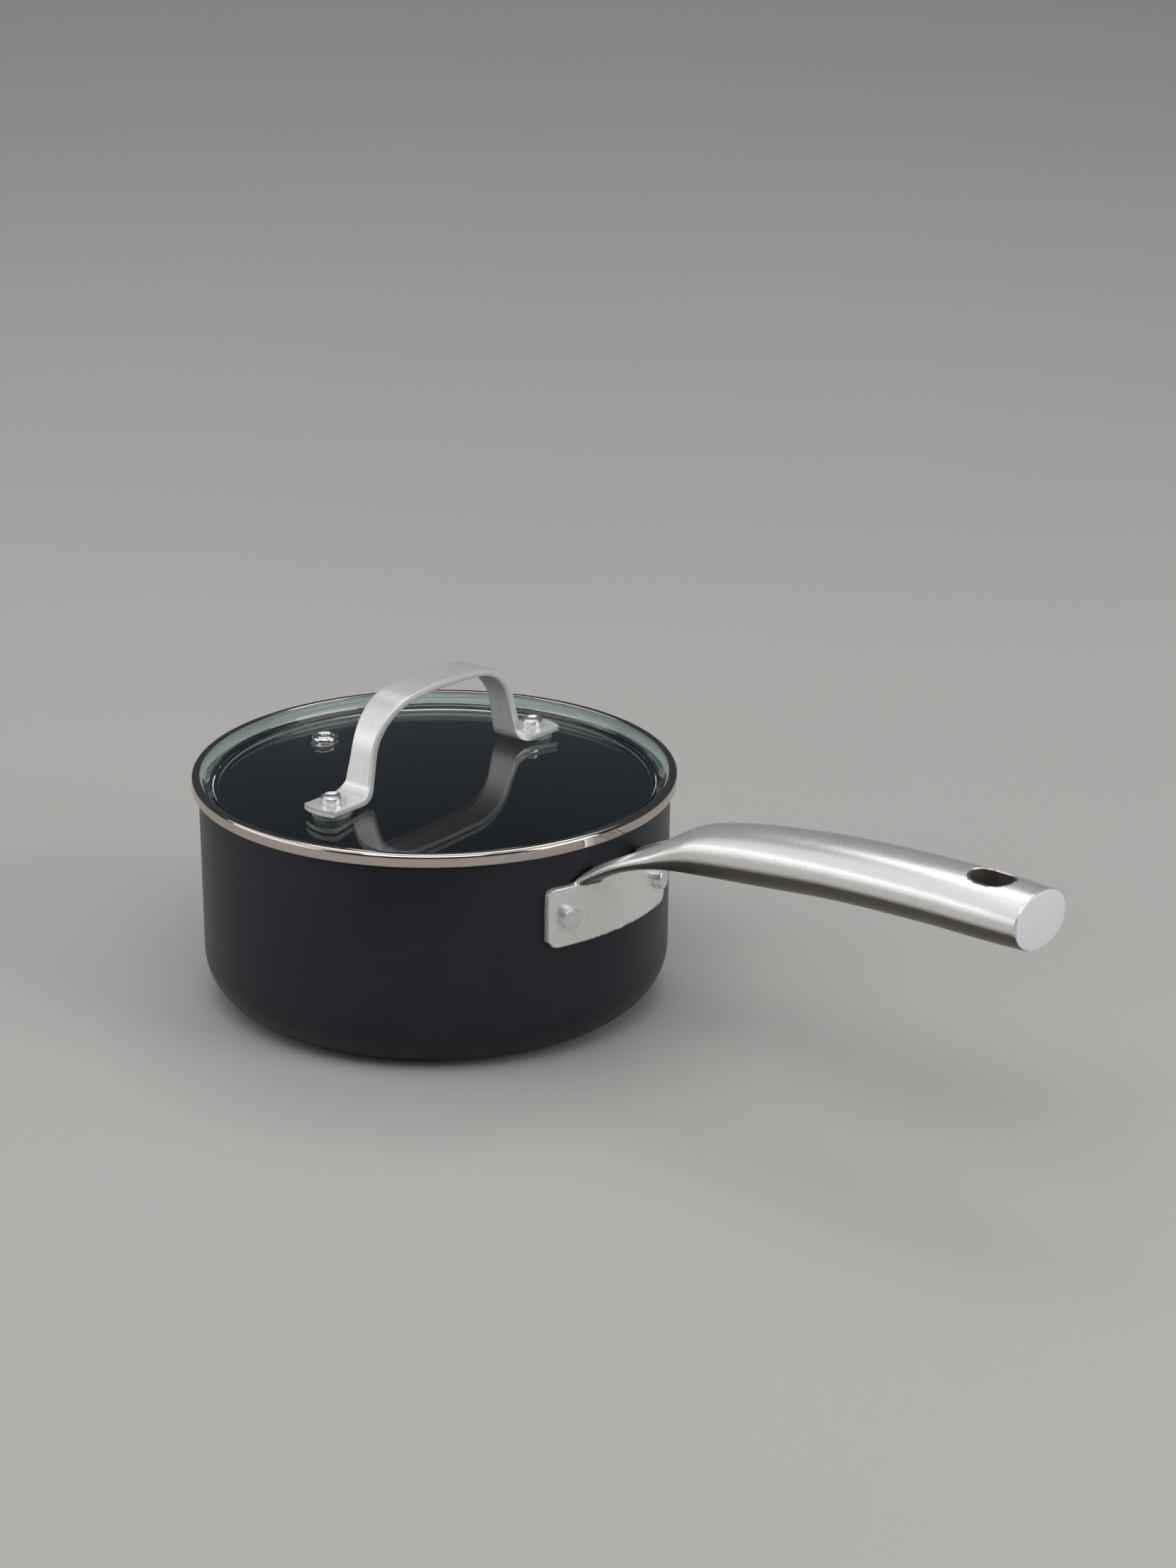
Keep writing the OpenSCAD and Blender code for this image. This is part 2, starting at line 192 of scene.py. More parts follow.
def apply_modifiers(obj):
    """Keeps the shape that the object's modifiers give, and drops the modifiers."""
    bpy.context.view_layer.update()
    graph = bpy.context.evaluated_depsgraph_get()
    mesh = bpy.data.meshes.new_from_object(obj.evaluated_get(graph))
    obj.modifiers.clear()
    obj.data = mesh


def place(obj, body, nodes, slot, *materials):
    """Gives a piece its material, its body and the CAD nodes it stands for."""
    obj.data.materials.clear()
    for m in materials:
        obj.data.materials.append(m)
    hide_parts(*nodes)
    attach(obj, body)
    return obj


# ---------------------------------------------------------------- materials


class Nodes:
    """Shorthand for building one node material."""

    def __init__(self, name):
        self.material = bpy.data.materials.new(name)
        self.material.use_nodes = True
        self.tree = self.material.node_tree
        self.shader = self.tree.nodes["Principled BSDF"]

    def add(self, kind, **values):
        node = self.tree.nodes.new(kind)
        for key, value in values.items():
            if key in node.inputs:
                node.inputs[key].default_value = value
            else:
                setattr(node, key, value)
        return node

    def link(self, a, b):
        self.tree.links.new(a, b)

    def set(self, **values):
        for key, value in values.items():
            self.shader.inputs[key.replace("_", " ")].default_value = value

    def noise(self, stretch, detail=3.0, turn=(0, 0, 0), uv=False, roughness=0.55):
        """Noise stretched along the axes; stretch is in cells per metre."""
        coord = self.add("ShaderNodeTexCoord")
        mapping = self.add("ShaderNodeMapping")
        mapping.inputs["Scale"].default_value = stretch
        mapping.inputs["Rotation"].default_value = turn
        noise = self.add("ShaderNodeTexNoise", Scale=1.0, Detail=detail, Roughness=roughness)
        self.link(coord.outputs["UV" if uv else "Object"], mapping.inputs["Vector"])
        self.link(mapping.outputs["Vector"], noise.inputs["Vector"])
        return noise.outputs["Fac"]

    def remap(self, fac, low, high, from_low=0.3, from_high=0.7):
        node = self.add("ShaderNodeMapRange")
        for i, value in enumerate((from_low, from_high, low, high)):
            node.inputs[i + 1].default_value = value
        self.link(fac, node.inputs[0])
        return node.outputs[0]

    def mix(self, fac, a, b):
        node = self.add("ShaderNodeMix", data_type="RGBA")
        node.inputs[6].default_value = (*a, 1)
        node.inputs[7].default_value = (*b, 1)
        self.link(fac, node.inputs[0])
        return node.outputs[2]

    def bump(self, height, strength, distance=0.0001, normal=None):
        node = self.add("ShaderNodeBump", Strength=strength, Distance=distance)
        self.link(height, node.inputs["Height"])
        if normal:
            self.link(normal, node.inputs["Normal"])
        self.link(node.outputs["Normal"], self.shader.inputs["Normal"])
        return node.outputs["Normal"]


def brushed_metal(name, colour, dark, rough, grain, bump=0.25, cross=None, under=None, uv=False, metallic=1.0):
    """Satin metal with fine parallel scratches: grain is cells per metre along each axis.

    cross is a second direction of brushing, (cells per metre, turn), on the faces that look up.
    under is the duller, browner colour painted on the faces that look down: a painted reflection,
    not the metal's own colour. It needs cross.
    """
    n = Nodes(name)
    n.set(Metallic=metallic)
    lines = n.noise(grain, 2.0, uv=uv)
    if cross:
        facing = n.add("ShaderNodeSeparateXYZ")
        n.link(n.add("ShaderNodeNewGeometry").outputs["Normal"], facing.inputs[0])
        blend = n.add("ShaderNodeMix", data_type="FLOAT")
        n.link(n.remap(facing.outputs["Z"], 0.3, 1, 0.2, 0.9), blend.inputs[0])
        n.link(lines, blend.inputs[2])
        n.link(n.noise(cross[0], 2.0, cross[1]), blend.inputs[3])
        lines = blend.outputs[0]
    cloud = n.noise((70, 70, 70), 3.0)
    shade = n.mix(n.remap(lines, 0, 1), dark, colour)
    # Painted reflection: faces that look down are mixed towards the under colour.
    if under:
        painted_reflection_fade = n.add("ShaderNodeMix", data_type="RGBA")
        painted_reflection_fade.inputs[6].default_value = (*under, 1)
        n.link(n.remap(facing.outputs["Z"], 0, 1, -0.2, -0.02), painted_reflection_fade.inputs[0])
        n.link(shade, painted_reflection_fade.inputs[7])
        shade = painted_reflection_fade.outputs[2]
    n.link(shade, n.shader.inputs["Base Color"])
    add = n.add("ShaderNodeMath", operation="ADD")
    n.link(n.remap(lines, rough - 0.025, rough + 0.025), add.inputs[0])
    n.link(n.remap(cloud, -0.015, 0.015), add.inputs[1])
    n.link(add.outputs[0], n.shader.inputs["Roughness"])
    n.bump(lines, bump, 0.00004)
    return n.material


def polished_metal(name, colour, dark, rough, scratch):
    """Mirror-like metal with hairline scratches and faint smears."""
    n = Nodes(name)
    n.set(Metallic=1.0)
    lines = n.noise(scratch, 3.0, uv=True)
    smear = n.noise((90, 90, 90), 4.0)
    n.link(n.mix(n.remap(smear, 0, 1), dark, colour), n.shader.inputs["Base Color"])
    n.link(n.remap(smear, rough * 0.7, rough * 1.8), n.shader.inputs["Roughness"])
    n.bump(lines, 0.015, 0.00003)
    return n.material


def anodised(name, colour, dark, rough):
    """Hard-anodised aluminium: fine matt tooth over a faint turning grain."""
    n = Nodes(name)
    n.set(Metallic=0.55)
    tooth = n.noise((5200, 5200, 5200), 2.0)
    turning = n.noise((14, 1500, 1), 3.0, uv=True)
    cloud = n.noise((24, 24, 24), 3.0)
    n.link(n.mix(n.remap(cloud, 0, 1), dark, colour), n.shader.inputs["Base Color"])
    n.link(n.remap(turning, rough - 0.03, rough + 0.04), n.shader.inputs["Roughness"])
    first = n.bump(tooth, 0.18, 0.00004)
    n.bump(turning, 0.08, 0.00004, first)
    return n.material


def moulded(name, colour, dark, rough, see_through=0.0):
    """Soft moulded silicone or compound with a fine matt skin."""
    n = Nodes(name)
    n.set(Transmission_Weight=see_through, IOR=1.42)
    skin = n.noise((1800, 1800, 1800), 3.0)
    cloud = n.noise((240, 240, 240), 2.0)
    n.link(n.mix(n.remap(cloud, 0, 1), dark, colour), n.shader.inputs["Base Color"])
    n.link(n.remap(skin, rough - 0.06, rough + 0.08), n.shader.inputs["Roughness"])
    n.bump(skin, 0.15, 0.00004)
    return n.material


def clear_glass(name):
    """Tempered glass with a faint green cast and a slight ripple."""
    n = Nodes(name)
    n.set(Transmission_Weight=1.0, IOR=1.5)
    ripple = n.noise((30, 30, 30), 1.0)
    haze = n.noise((160, 160, 160), 4.0)
    tint = n.mix(n.remap(haze, 0, 1), (0.93, 0.965, 0.95), (0.96, 0.985, 0.975))
    n.link(tint, n.shader.inputs["Base Color"])
    n.link(n.remap(haze, 0.0, 0.02, 0.5, 0.8), n.shader.inputs["Roughness"])
    n.bump(ripple, 0.02, 0.0002)
    return n.material


PAN_OUT = anodised("anodised_outside", (0.023, 0.028, 0.037), (0.017, 0.021, 0.029), 0.38)
PAN_IN = anodised("dark_lining", (0.006, 0.008, 0.011), (0.004, 0.006, 0.009), 0.42)
# The handle's last colour, a dull brown, is a painted reflection on the faces that look down.
HANDLE = brushed_metal("brushed_handle", (0.91, 0.9, 0.875), (0.86, 0.85, 0.825), 0.28,
                       (220, 3600, 3600), 0.05, ((4200, 220, 260), (0, 0, 0.35)),
                       (0.125, 0.114, 0.095), metallic=0.65)
CAP = brushed_metal("cap_disc", (0.86, 0.88, 0.89), (0.8, 0.82, 0.83), 0.5,
                    (900, 900, 900), 0.1, metallic=0.05)
# The liner's dark brown is painted shade inside the hang hole, far darker than the handle's steel.
LINER = brushed_metal("hole_liner", (0.13, 0.105, 0.085), (0.1, 0.08, 0.065), 0.5,
                      (900, 900, 60), 0.2, metallic=0.3)
RIVET = brushed_metal("rivet_metal", (0.84, 0.85, 0.86), (0.76, 0.77, 0.78), 0.24,
                      (60, 2200, 1), 0.15, uv=True, metallic=0.9)
STRAP = brushed_metal("brushed_strap", (0.95, 0.945, 0.92), (0.8, 0.795, 0.77), 0.34,
                      (60, 2600, 1), 0.18, uv=True, metallic=0.5)
# The band's warm brownish tint is a painted reflection of the floor, laid over the steel's own colour.
BAND = polished_metal("polished_band", (0.62, 0.56, 0.49), (0.59, 0.53, 0.46), 0.05, (3, 400, 1))
EYELET = polished_metal("polished_eyelet", (0.92, 0.92, 0.91), (0.87, 0.87, 0.86), 0.1, (60, 900, 1))
WASHER = brushed_metal("washer_metal", (0.5, 0.5, 0.49), (0.42, 0.42, 0.41), 0.35, (60, 1300, 1), 0.2, uv=True)
SEAL = moulded("bedding", (0.48, 0.57, 0.54), (0.43, 0.52, 0.49), 0.4)
SPACER = moulded("spacer_silicone", (0.46, 0.56, 0.52), (0.38, 0.48, 0.44), 0.25, 0.55)
GROMMET = moulded("grommet_rubber", (0.05, 0.055, 0.055), (0.035, 0.04, 0.04), 0.55)
GLASS_MATERIAL = clear_glass("tempered_glass")

# ---------------------------------------------------------------- pan


def wall_r(z):
    """Radius of the pan's outer wall at a height."""
    top = RIM_TOP - WALL / 2
    return RIM_R - FLARE + FLARE * (z - CORNER_R) / (top - CORNER_R)


def make_pan():
    """Body turned from one outline; the faces inside the rim take the dark lining."""
    foot = RIM_R - FLARE
    inner = foot - WALL
    inner_corner = CORNER_R - WALL
    bead = WALL / 2
    outline = [(0, 0), (foot - CORNER_R - 12 * MM, 0)]
    outline += arc((foot - CORNER_R, CORNER_R), CORNER_R, -90, 0, 24)
    outline += arc((RIM_R - bead, RIM_TOP - bead), bead, 0, 180, 14)
    outline += arc((inner - inner_corner, BASE + inner_corner), inner_corner, 0, -90, 20)
    outline += [(0, BASE)]
    pan = lathe("saucepan_body", outline, 256, sharp=50)
    for face in pan.data.polygons:
        mid = face.center
        r = math.hypot(mid.x, mid.y)
        if mid.z > BASE / 2 and r < RIM_R - 0.55 * WALL and (mid.z > CORNER_R or r < inner):
            in_corner = mid.z < CORNER_R and r > foot - CORNER_R
            outside = in_corner and math.hypot(r - foot + CORNER_R, mid.z - CORNER_R) > CORNER_R - 1.2 * MM
            face.material_index = 0 if outside else 1
    return place(pan, "pan", ["pan_body"], "pan_metal", PAN_OUT, PAN_IN)


make_pan()

# ---------------------------------------------------------------- long handle

# x, half width, underside, top, all in millimetres
GRIP = [
    (76, 24.6, 57.2, 64.2), (81, 20.8, 61, 68.2), (85, 17.4, 64, 70.8), (90, 13.8, 66.8, 73.6),
    (96, 11.5, 69, 76.6), (104, 10.3, 71, 80.4), (112, 10, 72.2, 85.4), (120, 10.4, 73, 89.8),
    (130, 11, 74.1, 92.8), (150, 12.1, 76.3, 96.5), (180, 13.3, 79.6, 99.9), (215, 13.9, 81.4, 101.8),
    (242, 14.1, 81.8, 102), (256, 13.6, 82.3, 101.4),
]
SQUARENESS = 0.92
GRIP_START = 0.076


def curve(x, column):
    """Smooth curve through one column of the grip's stations."""
    i = 0
    while i < len(GRIP) - 2 and x >= GRIP[i + 1][0]:
        i += 1

    def slope(j):
        a, b = GRIP[max(j - 1, 0)], GRIP[min(j + 1, len(GRIP) - 1)]
        return (b[column] - a[column]) / (b[0] - a[0])

    h = GRIP[i + 1][0] - GRIP[i][0]
    u = (x - GRIP[i][0]) / h
    return ((2 * u**3 - 3 * u**2 + 1) * GRIP[i][column] + (u**3 - 2 * u**2 + u) * h * slope(i)
            + (3 * u**2 - 2 * u**3) * GRIP[i + 1][column] + (u**3 - u**2) * h * slope(i + 1))


def section(x, inset=0.0):
    """Half width, underside and top of the grip at x."""
    station = x / REACH * GRIP[-1][0]
    return curve(station, 1) * MM - inset, curve(station, 2) * MM + inset, curve(station, 3) * MM - inset


def grip_ring(x, inset=0.0, sides=72):
    """Outline of the grip at x, a slightly squared oval."""
    a, low, high = section(x, inset)
    ring = []
    for i in range(sides):
        q = TURN * i / sides
        c, s = math.cos(q), math.sin(q)
        y = a * math.copysign(abs(c) ** SQUARENESS, c)
        z = (low + high) / 2 + (high - low) / 2 * math.copysign(abs(s) ** SQUARENESS, s)
        ring.append((x, y, z))
    return ring


def grip_height(x, y, side):
    """Height of the grip's surface over (x, y); side is 1 for the top and -1 for the underside."""
    a, low, high = section(x)
    c = min(abs(y) / a, 1) ** (1 / SQUARENESS)
    return (low + high) / 2 + side * (high - low) / 2 * math.sqrt(1 - c * c) ** SQUARENESS


def handle_plate():
    """Plate with rounded corners that follows the pan's wall."""
    low, high = RIVET_Z - PLATE_H / 2, RIVET_Z + PLATE_H / 2
    skin = lathe("plate", [(wall_r(low - MM), low - MM), (wall_r(low - MM) + PLATE_T, low - MM),
                           (wall_r(high + MM) + PLATE_T, high + MM), (wall_r(high + MM), high + MM)], 256)
    r = 3 * MM
    outline = []
    for sy, sz, start in ((1, 1, 0), (-1, 1, 90), (-1, -1, 180), (1, -1, 270)):
        outline += arc((sy * (PLATE_W / 2 - r), RIVET_Z + sz * (PLATE_H / 2 - r)), r, start, start + 90, 6)
    block = loft("block", [[(x, y, z) for y, z in outline] for x in (0.06, 0.1)])
    boolean(skin, block, "INTERSECT")
    return skin


def make_handle():
    """Grip, fork and plate joined into one skin, with soft edges where they meet."""
    steps = 150
    length = REACH - CAP_SEAT - GRIP_START
    handle = loft("long_handle", [grip_ring(GRIP_START + length * i / steps) for i in range(steps + 1)])
    apex, apex_r = 107.5 * MM, 2.2 * MM
    wedge = [(0.07, -14.5 * MM)] + arc((apex, 0), apex_r, -80, 80, 10) + [(0.07, 14.5 * MM)]
    boolean(handle, prism("fork", wedge, 0.05, 0.11), "DIFFERENCE")
    clear_r = wall_r(RIVET_Z) + 0.9 * MM
    boolean(handle, lathe("gap", [(0, 0), (clear_r, 0), (clear_r, 0.2), (0, 0.2)], 256), "DIFFERENCE")
    boolean(handle, handle_plate(), "UNION")
    boolean(handle, prism("hole", slot_outline(HOLE_X, HOLE_R, HOLE_STRETCH), 0.07, 0.12), "DIFFERENCE")
    skin = handle.modifiers.new("skin", "REMESH")
    skin.mode = "VOXEL"
    skin.voxel_size = 0.35 * MM
    softening = handle.modifiers.new("ease", "SMOOTH")
    softening.iterations = 3
    apply_modifiers(handle)
    handle.data.shade_smooth()
    handle.name = "long_handle"
    return place(handle, "pan", ["pan_handle"], "handle_steel", HANDLE)


def make_end_cap():
    """Flat disc with an eased edge, over the end of the tube."""
    rings = []
    for x, inset in ((-0.9, 0.25), (-0.2, 0.25), (-0.06, 0.36), (0, 0.6)):
        rings.append([(REACH + x * MM, y, z) for _, y, z in grip_ring(REACH, inset * MM)])
    return place(loft("handle_cap", rings), "pan", ["handle_end_cap"], "end_cap", CAP)


def make_liner():
    """Thin oval sleeve that ends just under the grip's skin, top and bottom."""
    outer = slot_outline(HOLE_X, HOLE_R - 0.05 * MM, HOLE_STRETCH)
    inner = slot_outline(HOLE_X, HOLE_R - 0.8 * MM, HOLE_STRETCH)
    n = len(outer)
    verts, faces = [], []
    for loop, side in ((outer, 1), (inner, 1), (inner, -1), (outer, -1)):
        verts += [(x, y, grip_height(x, y, side) - side * 0.45 * MM) for x, y in loop]
    for ring in range(4):
        for i in range(n):
            k = (i + 1) % n
            m = (ring + 1) % 4
            faces.append((ring * n + i, ring * n + k, m * n + k, m * n + i))
    return place(finish_mesh("hang_hole_liner", verts, faces), "pan", ["hang_hole_sleeve"], "hole_liner", LINER)


def make_handle_rivet(name, node, side):
    """Rivet through plate and wall, turned upright and then laid along the pan's radius."""
    face = wall_r(RIVET_Z) + PLATE_T
    inside = wall_r(RIVET_Z) - WALL
    head, tail, edge = 3.6 * MM, 4.6 * MM, 0.45 * MM
    outline = [(0, inside - 2.1 * MM)] + arc((tail - edge, inside - 1.6 * MM), edge, -90, 0, 5)
    outline += [(tail, inside - 0.3 * MM), (2.6 * MM, inside - 0.3 * MM), (2.6 * MM, face), (head, face)]
    outline += arc((head - edge, face + 2.9 * MM - edge), edge, 0, 90, 6) + [(0, face + 2.9 * MM)]
    rivet = lathe(name, outline, 64)
    rivet.data.transform(Matrix.Translation((0, 0, RIVET_Z)) @ Matrix.Rotation(side * RIVET_ANGLE, 4, "Z")
                         @ Matrix.Rotation(math.pi / 2, 4, "Y"))
    return place(rivet, "pan", [node], "rivets", RIVET)


make_handle()
make_end_cap()
make_liner()
make_handle_rivet("handle_rivet_near", "handle_rivet_left", -1)
make_handle_rivet("handle_rivet_far", "handle_rivet_right", 1)

# ---------------------------------------------------------------- lid

SEAL_GAP = 0.25 * MM
FLANGE_R = BAND_R - BAND_T - SEAL_GAP
FLANGE_TOP = BAND_TOP - BAND_T - SEAL_GAP
FLANGE_LOW = BAND_LOW + BAND_T + SEAL_GAP


def dome_z(r):
    """Height of the glass's top face at a distance from the axis."""
    return DOME_TOP - DOME_R + math.sqrt(DOME_R**2 - r * r)


def glass_outline():
    """Dome, groove and raised flange along the top, and back along the underside."""
    groove, e = dome_z(GROOVE_R), 0.8 * MM
    rim = math.degrees(math.asin(GROOVE_R / DOME_R))
    top = arc((0, DOME_TOP - DOME_R), DOME_R, 90, 90 - rim, 32)
    top += arc((GROOVE_R + 0.5 * MM, groove + 1.2 * MM), 1.25 * MM, 250, 335, 12)
    top += arc((81.2 * MM, FLANGE_TOP - 3 * MM), 3 * MM, 160, 90, 12)
    top += arc((FLANGE_R - e, FLANGE_TOP - e), e, 90, 0, 6)
    low = arc((FLANGE_R - e, FLANGE_LOW + e), e, 0, -90, 6)
    low += arc((80.8 * MM, FLANGE_LOW - 0.6 * MM), 0.6 * MM, 90, 144, 5)
    low += arc((GROOVE_R + 0.1 * MM, groove - GLASS + 2.4 * MM), 2.4 * MM, -36, -108, 10)
    low += arc((0, DOME_TOP - DOME_R), DOME_R - GLASS, 90 - rim * 0.974, 90, 32)
    return top + low


def make_glass():
    """Disc with its three holes. It casts no shadow, as real glass passes most of the light."""
    glass = lathe("lid_glass_disc", glass_outline(), 256, sharp=60)
    for name, centre, radius in (("a", (0, RIVET_Y), 3.2 * MM), ("b", (0, -RIVET_Y), 3.2 * MM),
                                 ("c", (VENT_X, 0), 2.9 * MM)):
        drill = [(0, 0.06), (radius, 0.06), (radius, 0.09), (0, 0.09)]
        boolean(glass, lathe(name, drill, 48, centre), "DIFFERENCE")
    glass.data.shade_smooth()
    glass.data.set_sharp_from_angle(angle=math.radians(50))
    glass.visible_shadow = False
    return place(glass, "lid", ["lid_glass"], "glass", GLASS_MATERIAL)


def make_band():
    """Rolled channel round the glass, with a turned-over lip."""
    r_top, r_low, t = 1.4 * MM, 1.0 * MM, BAND_T
    lip_top, lip_low = 82 * MM, 80.9 * MM
    outline = [(lip_low, BAND_LOW)] + arc((BAND_R - r_low, BAND_LOW + r_low), r_low, -90, 0, 8)
    outline += arc((BAND_R - r_top, BAND_TOP - r_top), r_top, 0, 90, 12) + [(lip_top + t / 2, BAND_TOP)]
    outline += arc((lip_top + t / 2, BAND_TOP - t / 2), t / 2, 90, 270, 6)
    outline += arc((BAND_R - r_top, BAND_TOP - r_top), r_top - t, 90, 0, 12)
    outline += arc((BAND_R - r_low, BAND_LOW + r_low), r_low - t, 0, -90, 8) + [(lip_low, BAND_LOW + t)]
    return place(lathe("lid_rim", outline, 512, sharp=50), "lid", ["lid_rim_band"], "rim_steel", BAND)


def make_seal():
    """Bedding compound, which wets the glass: its inner face lies a hair inside the flange."""
    t, e, bite = BAND_T, 0.8 * MM, 0.05 * MM
    mouth_low, mouth_top = 81.2 * MM, 82.3 * MM
    outer = FLANGE_R - bite
    outline = [(mouth_low, BAND_LOW + t)] + arc((BAND_R - MM, BAND_LOW + MM), MM - t, -90, 0, 6)
    outline += arc((BAND_R - 1.4 * MM, BAND_TOP - 1.4 * MM), 1.4 * MM - t, 0, 90, 8)
    outline += [(mouth_top, BAND_TOP - t), (mouth_top, FLANGE_TOP - bite)]
    outline += arc((outer - e, FLANGE_TOP - bite - e), e, 90, 0, 6)
    outline += arc((outer - e, FLANGE_LOW + bite + e), e, 0, -90, 6)
    outline += [(mouth_low, FLANGE_LOW + bite)]
    return place(lathe("lid_bedding", outline, 256), "lid", ["lid_rim_seal"], "seal", SEAL)


def on_dome(outline, steps, centre, lift=0.03 * MM, below=False):
    """A turned ring whose points in or near the glass are moved just clear of its face."""
    ring = lathe("ring", outline, steps, centre)
    for v in ring.data.vertices:
        r = math.hypot(v.co.x, v.co.y)
        top = dome_z(r)
        under = DOME_TOP - DOME_R + math.sqrt((DOME_R - GLASS) ** 2 - r * r)
        if below and v.co.z > under - 0.4 * MM:
            v.co.z = under - lift
        elif not below and v.co.z < top + 0.4 * MM:
            v.co.z = top + lift
    return ring


def make_vent():
    """Rolled eyelet, and the washer under the glass that it is rolled over."""
    hole, barrel, flange, roll = 2.1 * MM, 2.9 * MM, 4.65 * MM, 0.8 * MM
    washer_low = dome_z(VENT_X) - GLASS - 0.9 * MM
    low, seat = washer_low - 0.7 * MM, dome_z(VENT_X) + 0.1 * MM
    outline = [(hole, low), (4 * MM, low), (4 * MM, low + 0.7 * MM), (barrel, low + 0.7 * MM), (barrel, seat)]
    outline += arc((flange - roll, seat + roll), roll, -90, 130, 14)
    outline += [(hole + 1.1 * MM, seat + 0.75 * MM)]
    outline += arc((hole + 0.4 * MM, seat + 1.35 * MM), 0.4 * MM, -20, 180, 10)
    place(lathe("steam_vent", outline, 64, (VENT_X, 0)), "lid", ["vent_eyelet"], "eyelet", EYELET)
    outer, high = 5 * MM, washer_low + 1.5 * MM
    ring = [(barrel, washer_low), (outer, washer_low), (outer, high), (barrel, high)]
    washer = on_dome(ring, 48, (VENT_X, 0), below=True)
    washer.name = "steam_vent_washer"
    place(washer, "lid", ["vent_washer"], "washers", WASHER)


make_glass()
make_band()
make_seal()
make_vent()

# ---------------------------------------------------------------- lid handle


def sin(degrees):
    return math.sin(math.radians(degrees))


def cos(degrees):
    return math.cos(math.radians(degrees))


def ease(a, b, u):
    """From a to b, level at both ends."""
    return a + (b - a) * (1 - math.cos(math.pi * u)) / 2


def strap_stations():
    """Outer face from the middle of the top to the foot's start: y, z, slope, width, thickness."""
    bridge, bridge_r, shoulder, leg, bend = 17.8 * MM, 150 * MM, 22.5 * MM, 76.5, 5 * MM
    top = math.degrees(math.asin(bridge / bridge_r))
    out = []
    for i in range(9):
        q = top * i / 8
        out.append((bridge_r * sin(q), STRAP_TOP - bridge_r * (1 - cos(q)), q, BRIDGE_W, BRIDGE_T))
    shoulder_z = STRAP_TOP - bridge_r * (1 - cos(top))
    for i in range(1, 25):
        u = i / 24
        q = top + (leg - top) * u
        out.append((bridge + shoulder * (sin(q) - sin(top)), shoulder_z - shoulder * (cos(top) - cos(q)), q,
                    ease(BRIDGE_W, LEG_W, u), ease(BRIDGE_T, LEG_T, u)))
    y0, z0 = out[-1][0], out[-1][1]
    z1 = FOOT_TOP + bend * (1 - cos(leg))
    y1 = y0 + (z0 - z1) / math.tan(math.radians(leg))
    for i in range(1, 9):
        u = i / 9
        out.append((y0 + (y1 - y0) * u, z0 + (z1 - z0) * u, leg, ease(LEG_W, KNEE_W, u), LEG_T))
    foot = y1 + bend * sin(leg)
    for i in range(17):
        u = i / 16
        q = leg * (1 - u)
        out.append((foot - bend * sin(q), FOOT_TOP + bend * (1 - cos(q)), q,
                    KNEE_W + (FOOT_W - KNEE_W) * math.sin(math.pi * u / 2), ease(LEG_T, FOOT_T, u)))
    return out, foot


def make_strap():
    """Strap lofted through its stations; share is how far along the round-ended foot one lies."""
    half, foot = strap_stations()
    end_r, across, edge = 15 * MM, 13, 0.3 * MM
    path = [(foot, FOOT_TOP, 0, FOOT_W, FOOT_T, share) for share in (0.25, 0.5, 0.75, 1.0)]
    half = [(*p, 0) for p in half] + path
    full = [(-y, z, -q, w, t, -s) for y, z, q, w, t, s in half[:0:-1]] + half
    rings, uvs, run = [], [], 0
    last = None
    for y, z, q, w, t, share in full:
        s, c = sin(q), cos(q)
        spot = (y + share * (STRAP_END - foot), z)
        run += math.dist(spot, last) if last else 0
        last = spot
        ring = []
        flat = [-w / 2 + edge + (w - 2 * edge) * i / (across - 1) for i in range(across)]
        outline = [(x, 0) for x in flat] + arc((w / 2 - edge, edge), edge, -70, -10, 3)
        outline += [(w / 2, t / 2)] + arc((w / 2 - edge, t - edge), edge, 10, 70, 3)
        outline += [(x, t) for x in reversed(flat)] + arc((-w / 2 + edge, t - edge), edge, 110, 170, 3)
        outline += [(-w / 2, t / 2)] + arc((-w / 2 + edge, edge), edge, 190, 250, 3)
        for x, d in outline:
            reach = share * (STRAP_END - end_r + math.sqrt(end_r**2 - x * x) - foot - 0.02 * MM)
            ring.append((x, y + reach - d * s, z - d * c))
            uvs.append((run, x if d < t / 2 else x + 0.05))
        rings.append(ring)
    strap = loft("lid_strap", rings, 40, uvs)
    return place(strap, "lid", ["lid_handle_strap"], "strap_steel", STRAP)


def ring_outline(low, high, outer, inner, edge=0.2 * MM):
    """Section of a flat ring with eased outer corners."""
    return [(inner, low), (outer - edge, low), (outer, low + edge), (outer, high - edge), (outer - edge, high),
            (inner, high)]


